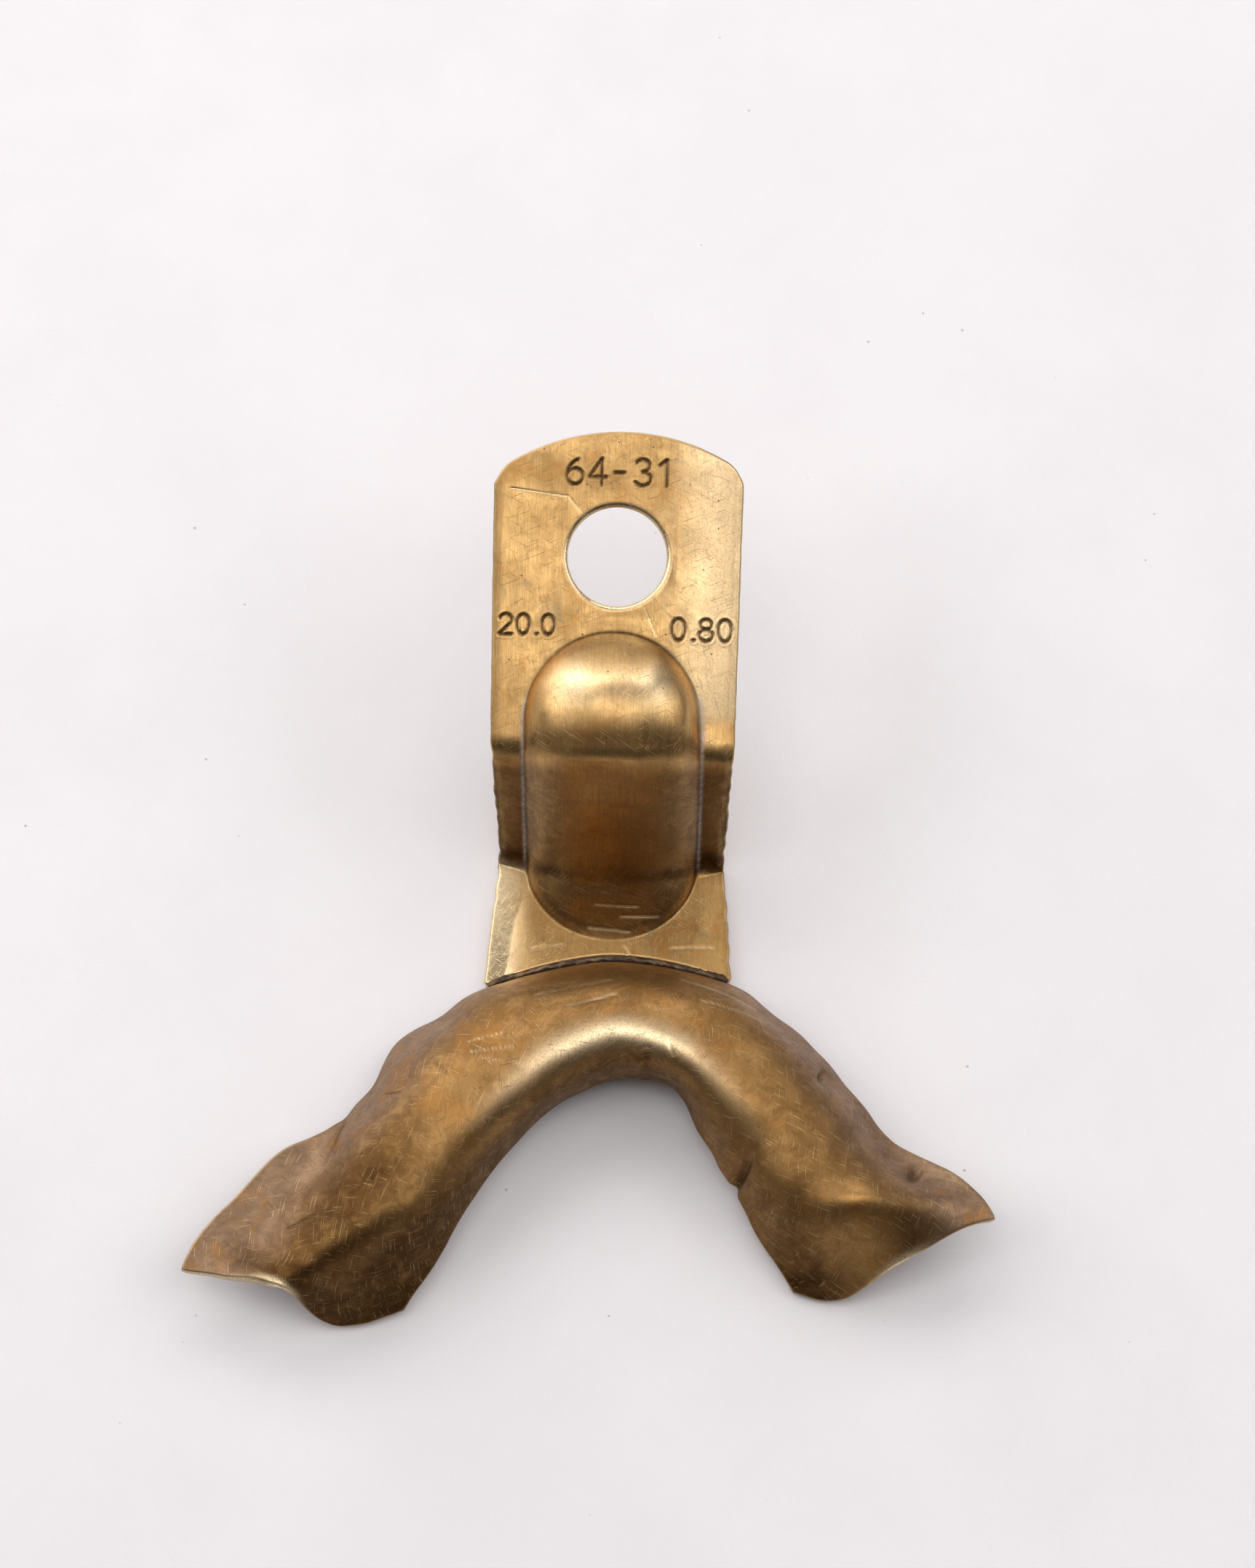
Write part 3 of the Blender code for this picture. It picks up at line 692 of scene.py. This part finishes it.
def make_handle(surface):
    strip = RoundedPath(
        (SHELF_START, LOWER_BEND, UPPER_BEND,
         (UPPER_BEND[0] + PLATE_LENGTH * math.cos(PLATE_SLOPE),
          UPPER_BEND[1] + PLATE_LENGTH * math.sin(PLATE_SLOPE))),
        (LOWER_RADIUS, UPPER_RADIUS))
    ridge = RoundedPath(RIDGE, RIDGE_RADII)
    lower, upper = strip.corner_marks[1:3]
    boss_stop = upper + BOSS_STOP

    columns = np.linspace(-1.0, 1.0, HANDLE_COLUMNS)
    rim = front_rim_y(columns * half_width(0.0), surface) + SEAM_WIDTH + 2 * SEAM_CLEARANCE
    straight, hole = handle_rows(strip)
    shelf = np.linspace(0.0, 1.0, SHELF_SHARES)[:-1, None] * (straight[0] - rim) + rim
    ends = plate_end(columns * (half_width(strip.length) - SHEARED_BULGE), strip.length) - SHEARED_BULGE
    end_shares = np.linspace(0.0, 1.0, SHELF_SHARES)[1:, None]
    end_rows = straight[-1] + (ends - straight[-1]) * end_shares
    distance = np.concatenate([shelf, np.repeat(straight[:, None], HANDLE_COLUMNS, 1), end_rows])
    if len(distance) % 2 == 0:
        # The underside uses every second row, so one more row makes their number odd.
        between = distance[:1] * 0.5 + distance[1:2] * 0.5
        distance = np.concatenate([distance[:1], between, distance[1:]])

    ripple = 0.07 * smooth_step((upper + 1.0 - distance) / 2.0) + 0.02
    ragged = ripple * (1.0 + 0.5 * waves(distance, columns * 2, 1.7, 21) * 0.7)
    side = columns[None, :] * (half_width(distance) - SHEARED_BULGE - np.clip(ragged, 0.0, 0.25))
    from_side = half_width(distance) - SHEARED_BULGE - np.abs(side)

    base = strip.points_at(distance)
    marks = (BOSS_START, lower, upper, *(upper + mark for mark in DOME_MARKS), boss_stop)
    top_line = ridge.points_at(np.interp(distance, marks, ridge.corner_marks))
    inside = boss_inside(side, distance, BOSS_START, boss_stop)
    raised = boss_share(inside)[..., None] * (inside > -0.3)[..., None]
    profile = base + (top_line - base) * raised
    points = np.stack([side, profile[..., 0], profile[..., 1]], -1)
    normals = sheet_normals(points)

    along_plate = distance - upper
    depth, inked = stamp_depth(side, along_plate)
    on_boss = smooth_step(inside / 1.5)
    low_part = smooth_step((upper + 3.0 - distance) / 4.0)
    on_shelf = smooth_step((lower + 1.0 - distance) / 2.0)
    bump = -depth - 0.10 * gauss(from_side, 0.35) + 0.012 * waves(side, distance, 4.0, 31)
    bump -= 0.10 * smooth_step((np.abs(side) - 6.0) / 4.0) ** 1.5
    bump -= 0.58 * (np.maximum(side, 0.0) / 9.8) ** 2 * (1 - low_part) * (1 - on_boss)
    bump -= on_shelf * (0.30 + 0.40 * (side < 0)) * smooth_step((np.abs(side) - 5.5) / 5.0) ** 1.5
    bump += 0.02 * gauss(from_side - 0.5, 0.5) * low_part * waves(side, distance, 2.2, 33)
    bump += 0.03 * on_boss * waves(side, distance, 5.0, 35)
    scratched = np.zeros_like(side)
    for start, end, spread, deep in HANDLE_SCRATCHES:
        shape = gauss(line_distance(side, distance, start, end), spread)
        bump -= deep * shape
        scratched = np.maximum(scratched, shape)
    points = points + bump[..., None] * normals
    points[..., 2] = np.maximum(points[..., 2], LOWER_BEND[1] + DROOP_LIMIT)

    top = np.zeros((*side.shape, WIDTH))
    top[..., :3] = points
    top[..., 3] = side
    top[..., 4] = distance
    # Painted shade: the riser and its side bands, the boss's lower walls and low end, the band under the
    # dome and the dome's upper end are darkened.
    riser = smooth_step((upper - 0.5 - distance) / 2.0) * smooth_step((distance - lower + 0.8) / 1.2)
    riser_sides = riser * gauss(np.abs(side) - 5.0, 1.1)
    boss_wall = gauss(inside - 0.5, 0.6) * smooth_step((upper + 2.5 - distance) / 2.0)
    low_end = smooth_step(inside / 1.0) * smooth_step((lower + 1.5 - distance) / 2.0)
    under_dome = gauss(distance - upper - 0.9, 0.9) * smooth_step(inside / 0.8)
    dome_top = gauss(inside - 1.0, 0.8) * smooth_step((distance - upper - 6.5) / 1.5)
    foot = gauss(inside + 0.05, 0.18)
    foot_of_dome = foot * smooth_step((distance - upper - 6.0) / 3.0)
    lower_corner = gauss(distance - lower - 0.8, 1.3) * smooth_step((np.abs(side) - 6.6) / 0.6)
    # Besides, the plate darkens a little towards its top end and at the lower bend's outer corners; the
    # stamps, the boss's foot and the outline get real patina.
    tarnish_and_shade = 0.34 * riser + 0.35 * riser_sides + 0.3 * riser * (inside < 0) + 0.35 * boss_wall \
        + 0.60 * low_end + 0.15 * smooth_step((along_plate - 19.5) / 3.0) + 0.60 * under_dome \
        + 0.45 * dome_top + 0.60 * foot + 1.0 * inked + 0.5 * lower_corner \
        + 0.45 * foot_of_dome + 0.35 * gauss(from_side, 0.25)
    top[..., TARNISH_AND_SHADE] = np.clip(tarnish_and_shade, 0, 1)
    residue_run = smooth_step((distance - lower + 0.5) / 1.5) * smooth_step((upper + 5.5 - distance) / 2.0)
    residue = gauss(inside + 0.20, 0.13) * residue_run
    top[..., RESIDUE] = np.clip(residue * (0.42 + 0.10 * waves(side, distance, 0.5, 41)), 0, 1)
    # Painted highlights: two spots on the dome, the plate's right half and the shelf's left end are
    # lightened toward bare metal; the scratches are real wear.
    dome = (gauss(np.abs(side) - 3.2, 1.6) + 0.4 * gauss(side, 2.0)) * gauss(distance - upper - 5.2, 1.8)
    bright_side = smooth_step((side - 3.0) / 5.0) * smooth_step((distance - upper - 2.0) / 2.0) \
        * (1 - on_boss)
    shelf_end = gauss(side + 9.0, 1.6) * on_shelf
    top[..., WEAR_AND_HIGHLIGHT] = np.clip(0.45 * scratched * (1 - inked) + 0.7 * dome + 0.45 * bright_side * (1 - inked)
                             + 0.8 * shelf_end, 0, 1)

    centre = strip.at(hole)
    slope = np.array([0.0, math.cos(PLATE_SLOPE), math.sin(PLATE_SLOPE)])

    def hole_edge(square, radius):
        """Points on the plate's face at a radius, in line with each vertex of the square."""
        ring = square.copy()
        across = square[:, 3]
        along = square[:, 4] - hole
        reach = np.hypot(across, along)
        across, along = across / reach * radius, along / reach * radius
        ring[:, :3] = np.array([0.0, centre.x, centre.y]) + along[:, None] * slope
        ring[:, 0] = across
        ring[:, 3] = across
        ring[:, 4] = along + hole
        return ring

    first_row = int(np.argmin(np.abs(distance[:, 0] - (hole - HOLE_PATCH_REACH))))
    last_row = int(np.argmin(np.abs(distance[:, HANDLE_COLUMNS // 2] - (hole + HOLE_PATCH_REACH))))
    reach_columns = int(round(HOLE_PATCH_REACH / 10.0 * (HANDLE_COLUMNS - 1) / 2 / 2)) * 2
    middle = HANDLE_COLUMNS // 2
    first_column = middle - reach_columns - (middle - reach_columns) % 2
    last_column = middle + reach_columns + (middle + reach_columns) % 2
    first_row -= first_row % 2
    last_row -= last_row % 2
    return close_sheet(top, (first_row, last_row, first_column, last_column), hole_edge)


# ---------------------------------------------------------------- the braze seam

def make_seam(surface):
    """A lumpy bead in the joint, as a closed tube of brazing metal."""
    reach = half_width(0.0) - SEAM_END_GAP
    steps, sides = SEAM_STEPS, SEAM_SIDES
    shell = Shell()
    x = np.linspace(-reach, reach, steps)
    y = front_rim_y(x, surface) + SEAM_CLEARANCE + SEAM_WIDTH / 2
    thick = 1.0 + 0.10 * waves(x, 0 * x, 1.7, 51) + 0.06 * waves(x, 0 * x, 0.6, 52)
    ends = np.sqrt(np.clip(1.0 - ((np.abs(x) - reach + 0.5) / 0.5).clip(0, 1) ** 2, 0.02, 1.0))
    rings = []
    for k in range(sides):
        angle = 2 * math.pi * k / sides
        ring = np.zeros((steps, WIDTH))
        lumps = 1.0 + 0.06 * waves(x, np.full(steps, angle), 0.8, 53)
        ring[:, 0] = x
        ring[:, 1] = y + SEAM_HALF_WIDTH * math.cos(angle) * ends * lumps
        ring[:, 2] = SEAM_HEIGHT + SEAM_HALF_HEIGHT * math.sin(angle) * ends * thick.clip(0.7, 1.35) * lumps
        ring[:, 3] = x
        ring[:, 4] = angle
        ring[:, TARNISH_AND_SHADE] = 0.75 + 0.25 * waves(x, np.full(steps, angle), 1.5, 54)
        rings.append(ring)
    numbers = shell.add(np.array(rings).transpose(1, 0, 2))
    for i in range(steps - 1):
        for k in range(sides):
            after = (k + 1) % sides
            shell.faces.append([int(numbers[i, k]), int(numbers[i, after]),
                                int(numbers[i + 1, after]), int(numbers[i + 1, k])])
    shell.faces.append([int(n) for n in numbers[0]][::-1])
    shell.faces.append([int(n) for n in numbers[-1]])
    return shell


# ---------------------------------------------------------------- materials

class Brew:
    """Short names for wiring a material's nodes."""

    def __init__(self, name):
        self.material = bpy.data.materials.new(name)
        self.material.use_nodes = True
        self.tree = self.material.node_tree
        self.shader = self.tree.nodes["Principled BSDF"]

    def node(self, kind, inputs=(), **settings):
        made = self.tree.nodes.new("ShaderNode" + kind)
        for name, value in settings.items():
            setattr(made, name, value)
        for key, value in dict(inputs).items():
            self.feed(made.inputs[key], value)
        return made

    def feed(self, socket, value):
        if isinstance(value, bpy.types.NodeSocket):
            self.tree.links.new(value, socket)
        else:
            socket.default_value = value

    def field(self, name):
        return self.node("Attribute", attribute_name=name).outputs["Fac"]

    def place(self):
        return self.node("Attribute", attribute_name="sheet_place").outputs["Vector"]

    def scaled(self, vector, scale):
        return self.node("Mapping", {"Vector": vector, "Scale": scale}).outputs["Vector"]

    def millimetres(self):
        """The point's place on the object, in millimetres."""
        return self.scaled(self.node("TexCoord").outputs["Object"], (1 / MM, 1 / MM, 1 / MM))

    def noise(self, vector, scale, detail=3.0, roughness=0.55, distortion=0.0):
        made = self.node("TexNoise", {"Vector": vector, "Scale": scale, "Detail": detail,
                                      "Roughness": roughness, "Distortion": distortion})
        return made.outputs["Fac"]

    def ramp(self, value, low, high, out_low=0.0, out_high=1.0):
        made = self.node("MapRange", {"Value": value, "From Min": low, "From Max": high,
                                      "To Min": out_low, "To Max": out_high},
                         interpolation_type="SMOOTHSTEP")
        return made.outputs["Result"]

    def math(self, operation, a, b=0.5, clamp=False):
        made = self.node("Math", {0: a, 1: b}, operation=operation, use_clamp=clamp)
        return made.outputs["Value"]

    def blend(self, share, a, b, mode="MIX"):
        made = self.node("Mix", {0: share, 6: a, 7: b}, data_type="RGBA", blend_type=mode)
        return made.outputs[2]


def rgba(red, green, blue):
    return (red, green, blue, 1.0)


def scratches(brew, place, angle, length_scale, width_scale, threshold):
    """Short straight streaks in one direction, 0 or 1."""
    rotated = brew.node("VectorRotate", {"Vector": place, "Angle": angle}, rotation_type="Z_AXIS")
    stretched = brew.scaled(rotated.outputs["Vector"], (length_scale, width_scale, 1.0))
    streaks = brew.noise(stretched, 1.0, detail=1.0, roughness=0.3, distortion=0.1)
    return brew.ramp(streaks, threshold, threshold + 0.05)


def aged_brass(name, bright, middle, deep, roughness, grain):
    """Worn, patinated brass; the vertex fields it reads also paint in shade and highlights. grain is how
    strongly the face is brushed along the sheet.
    """
    brew = Brew(name)
    space = brew.millimetres()
    place = brew.place()
    tarnish_and_shade, wear_and_highlight = brew.field("tarnish_and_shade"), brew.field("wear_and_highlight")
    residue, flange, underside = brew.field("residue"), brew.field("flange"), brew.field("underside")

    blotches = brew.noise(space, 0.16, 4.0, 0.6, 0.6)
    mottle = brew.noise(space, 0.75, 5.0, 0.65, 0.8)
    speckle = brew.noise(space, 6.0, 3.0, 0.7)
    brushed = brew.noise(brew.scaled(place, (9.0, 0.35, 1.0)), 1.0, 3.0, 0.7)
    fine_brushed = brew.noise(brew.scaled(place, (24.0, 1.4, 1.0)), 1.0, 2.0, 0.6)

    cloud = brew.math("ADD", brew.math("MULTIPLY", blotches, 0.6), brew.math("MULTIPLY", mottle, 0.4))
    patina = brew.ramp(cloud, 0.40, 0.62)
    color = brew.blend(patina, rgba(*bright), rgba(*middle))
    # Partly greyish patina and partly a painted sheen: the outer flanges get a pale pinkish grey.
    pinkish = brew.blend(brew.ramp(mottle, 0.35, 0.65), rgba(0.36, 0.25, 0.18), rgba(0.28, 0.20, 0.155))
    color = brew.blend(brew.math("MULTIPLY", flange, 0.75), color, pinkish)
    green_grey = brew.ramp(brew.noise(space, 0.38, 3.0, 0.6, 1.2), 0.60, 0.72)
    color = brew.blend(brew.math("MULTIPLY", green_grey, 0.45), color, rgba(0.22, 0.20, 0.13))
    amber = brew.ramp(brew.noise(space, 0.30, 3.0, 0.6, 0.8), 0.54, 0.66)
    color = brew.blend(brew.math("MULTIPLY", amber, 0.55), color, rgba(0.46, 0.22, 0.06))
    streak_share = brew.ramp(brushed, 0.35, 0.70, 0.0, grain)
    color = brew.blend(streak_share, color, rgba(*[0.72 * c for c in middle]))
    # Darkened by the first field, which holds real patina together with painted shade.
    dark = brew.math("MULTIPLY", tarnish_and_shade, brew.ramp(mottle, 0.2, 0.6, 0.75, 1.0), clamp=True)
    color = brew.blend(dark, color, rgba(*deep))
    # Painted shade: the underside is darkened.
    color = brew.blend(brew.math("MULTIPLY", underside, 0.6), color, rgba(0.17, 0.105, 0.05))
    # Lightened toward bare metal by the second field, which holds real wear together with painted
    # highlights.
    bare = brew.math("MULTIPLY", wear_and_highlight, brew.ramp(speckle, 0.35, 0.55, 0.6, 1.0), clamp=True)
    color = brew.blend(bare, color, rgba(0.97, 0.79, 0.50))

    light = brew.math("MAXIMUM", scratches(brew, place, 0.5, 0.45, 11.0, 0.67),
                      scratches(brew, place, 2.2, 0.6, 13.0, 0.68))
    dark_lines = brew.math("MAXIMUM", scratches(brew, place, 1.25, 0.50, 12.0, 0.68),
                           scratches(brew, place, 2.75, 0.40, 11.0, 0.69))
    color = brew.blend(brew.math("MULTIPLY", light, 0.40 - 0.25 * grain), color, rgba(0.74, 0.55, 0.28))
    dark_share = brew.math("MULTIPLY", dark_lines, 0.75 - 0.75 * grain)
    color = brew.blend(dark_share, color, rgba(0.12, 0.075, 0.035))
    pits = brew.node("TexVoronoi", {"Vector": space, "Scale": 1.1, "Randomness": 1.0})
    pit = brew.ramp(pits.outputs["Distance"], 0.10, 0.05)
    rare = brew.ramp(brew.noise(space, 0.9, 1.0), 0.56, 0.60)
    pit = brew.math("MULTIPLY", pit, rare)
    color = brew.blend(brew.math("MULTIPLY", pit, 0.8), color, rgba(0.10, 0.07, 0.05))
    color = brew.blend(residue, color, rgba(0.62, 0.56, 0.52))

    rough = brew.ramp(cloud, 0.35, 0.65, roughness - 0.05, roughness + 0.09)
    rough = brew.math("ADD", rough, brew.math("MULTIPLY", fine_brushed, 0.10 * grain))
    rough = brew.math("ADD", rough, brew.math("MULTIPLY", dark, 0.12))
    rough = brew.math("SUBTRACT", rough, brew.math("MULTIPLY", bare, 0.14))
    rough = brew.math("ADD", rough, brew.math("MULTIPLY", residue, 0.35), clamp=True)
    metal = brew.math("SUBTRACT", 1.0, brew.math("MULTIPLY", residue, 0.85), clamp=True)
    metal = brew.math("SUBTRACT", metal, brew.math("MULTIPLY", pit, 0.4), clamp=True)

    relief = brew.math("MULTIPLY", fine_brushed, 0.5 * grain + 0.1)
    relief = brew.math("ADD", relief, brew.math("MULTIPLY", speckle, 0.25))
    relief = brew.math("ADD", relief, brew.math("MULTIPLY", mottle, 0.6))
    relief = brew.math("SUBTRACT", relief, brew.math("MULTIPLY", light, 0.8))
    relief = brew.math("SUBTRACT", relief, brew.math("MULTIPLY", dark_lines, 0.8))
    relief = brew.math("SUBTRACT", relief, brew.math("MULTIPLY", pit, 1.5))
    bump = brew.node("Bump", {"Height": relief, "Strength": 0.35, "Distance": 0.00003})

    brew.feed(brew.shader.inputs["Base Color"], color)
    brew.feed(brew.shader.inputs["Metallic"], metal)
    brew.feed(brew.shader.inputs["Roughness"], rough)
    brew.feed(brew.shader.inputs["Normal"], bump.outputs["Normal"])
    return brew.material


def paper():
    """Matt off-white painted board with faint fibres and a few specks."""
    brew = Brew("backdrop_board")
    space = brew.millimetres()
    mottle = brew.noise(space, 0.05, 5.0, 0.6)
    fibre = brew.noise(space, 1.6, 4.0, 0.7, 0.5)
    color = brew.blend(brew.ramp(mottle, 0.35, 0.65), rgba(0.80, 0.775, 0.784), rgba(0.825, 0.80, 0.808))
    specks = brew.node("TexVoronoi", {"Vector": space, "Scale": 0.30, "Randomness": 1.0})
    speck = brew.ramp(specks.outputs["Distance"], 0.045, 0.025)
    patch = brew.ramp(brew.noise(space, 0.02, 2.0), 0.50, 0.60)
    color = brew.blend(brew.math("MULTIPLY", speck, patch), color, rgba(0.45, 0.42, 0.42))
    bump = brew.node("Bump", {"Height": fibre, "Strength": 0.25, "Distance": 0.00008})
    brew.feed(brew.shader.inputs["Base Color"], color)
    brew.shader.inputs["Roughness"].default_value = 0.75
    brew.feed(brew.shader.inputs["Normal"], bump.outputs["Normal"])
    return brew.material


# ---------------------------------------------------------------- set, light and camera

def aim(thing, spot):
    thing.rotation_euler = (Vector(spot) - thing.location).to_track_quat("-Z", "Y").to_euler()


def add_softbox(name, tilt, azimuth, size, brightness):
    """A panel of an even brightness, facing the tray."""
    lamp = bpy.data.lights.new(name, "AREA")
    lamp.shape = "RECTANGLE"
    lamp.size, lamp.size_y = size
    lamp.energy = brightness * math.pi * size[0] * size[1]
    lamp.color = LIGHT_COLOR
    light = bpy.data.objects.new(name, lamp)
    tilt, azimuth = math.radians(tilt), math.radians(azimuth)
    light.location = LIGHT_DISTANCE * Vector((math.sin(tilt) * math.cos(azimuth),
                                              math.sin(tilt) * math.sin(azimuth), math.cos(tilt)))
    bpy.context.scene.collection.objects.link(light)
    aim(light, LIGHT_TARGET)


def make_set(floor_height):
    mesh = bpy.data.meshes.new("backdrop")
    reach = BOARD_REACH
    mesh.from_pydata([(-reach, -reach, floor_height), (reach, -reach, floor_height),
                      (reach, reach, floor_height), (-reach, reach, floor_height)], [], [(0, 1, 2, 3)])
    mesh.materials.append(paper())
    backdrop = bpy.data.objects.new("backdrop", mesh)
    bpy.context.scene.collection.objects.link(backdrop)

    world = bpy.data.worlds.new("studio")
    world.use_nodes = True
    tree = world.node_tree
    direction = tree.nodes.new("ShaderNodeTexCoord").outputs["Generated"]
    height = tree.nodes.new("ShaderNodeSeparateXYZ")
    tree.links.new(direction, height.inputs[0])
    rise = tree.nodes.new("ShaderNodeValToRGB")
    rise.color_ramp.interpolation = "EASE"
    rise.color_ramp.elements[0].position = 0.25
    rise.color_ramp.elements[0].color = rgba(*ROOM_DARK)
    rise.color_ramp.elements[1].position = 0.85
    rise.color_ramp.elements[1].color = rgba(*ROOM_CEILING)
    tree.links.new(height.outputs["Z"], rise.inputs["Fac"])
    tree.links.new(rise.outputs["Color"], tree.nodes["Background"].inputs["Color"])
    bpy.context.scene.world = world
    bpy.context.scene.view_settings.view_transform = "Standard"

    for softbox in SOFTBOXES:
        add_softbox(*softbox)


def make_camera():
    data = bpy.data.cameras.new("photo_view")
    data.lens = LENS
    data.sensor_fit = "VERTICAL"
    data.sensor_height = SENSOR_HEIGHT
    data.dof.use_dof = False
    data.clip_start = 0.01
    camera = bpy.data.objects.new("photo_view", data)
    away = Vector((0.0, -math.cos(CAMERA_ELEVATION), math.sin(CAMERA_ELEVATION))) * CAMERA_DISTANCE
    turned = Vector((away.x * math.cos(CAMERA_TURN) - away.y * math.sin(CAMERA_TURN),
                     away.x * math.sin(CAMERA_TURN) + away.y * math.cos(CAMERA_TURN), away.z))
    camera.location = (Vector(CAMERA_TARGET) + turned) * MM
    camera.rotation_euler = (math.pi / 2 - CAMERA_ELEVATION, 0.0, CAMERA_TURN)
    bpy.context.scene.collection.objects.link(camera)
    bpy.context.scene.camera = camera


def frame_shift(handle_shell):
    """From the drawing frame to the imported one, by the handle's box, in millimetres."""
    points = np.concatenate(handle_shell.blocks)[:, :3]
    low, high = points.min(0), points.max(0)
    node_low, node_high = (np.array(corner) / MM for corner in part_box("handle"))
    return np.array([(node_low[0] + node_high[0] - low[0] - high[0]) / 2,
                     node_high[1] - high[1], node_high[2] - high[2]])


make_camera()
trough_shell = close_sheet(make_trough())
rim_surface = curve_through(TROUGH_SECTIONS, CUTS_ALONG)
handle_shell = make_handle(rim_surface)
seam_shell = make_seam(rim_surface)
shift = frame_shift(handle_shell)

tray_metal = aged_brass("aged_tray_brass", (0.46, 0.262, 0.094), (0.31, 0.165, 0.056), (0.085, 0.040, 0.012),
                        0.42, 0.25)
handle_metal = aged_brass("brushed_handle_brass", (0.62, 0.385, 0.150), (0.50, 0.300, 0.110),
                          (0.085, 0.041, 0.014), 0.34, 0.6)
braze_metal = aged_brass("dull_braze", (0.30, 0.20, 0.12), (0.20, 0.14, 0.09), (0.07, 0.05, 0.04), 0.45, 0.0)

for shell, name, node, slot, material in (
        (trough_shell, "tray_shell", "tray_body", "tray_brass", tray_metal),
        (handle_shell, "handle_shell", "handle", "handle_brass", handle_metal),
        (seam_shell, "braze_bead", "braze_seam", "braze", braze_metal)):
    piece = shell.make(name, material, shift)
    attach(piece, "root")
    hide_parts(node)

low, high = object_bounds()
make_set(min(0.0, low.z) - FLOOR_GAP)
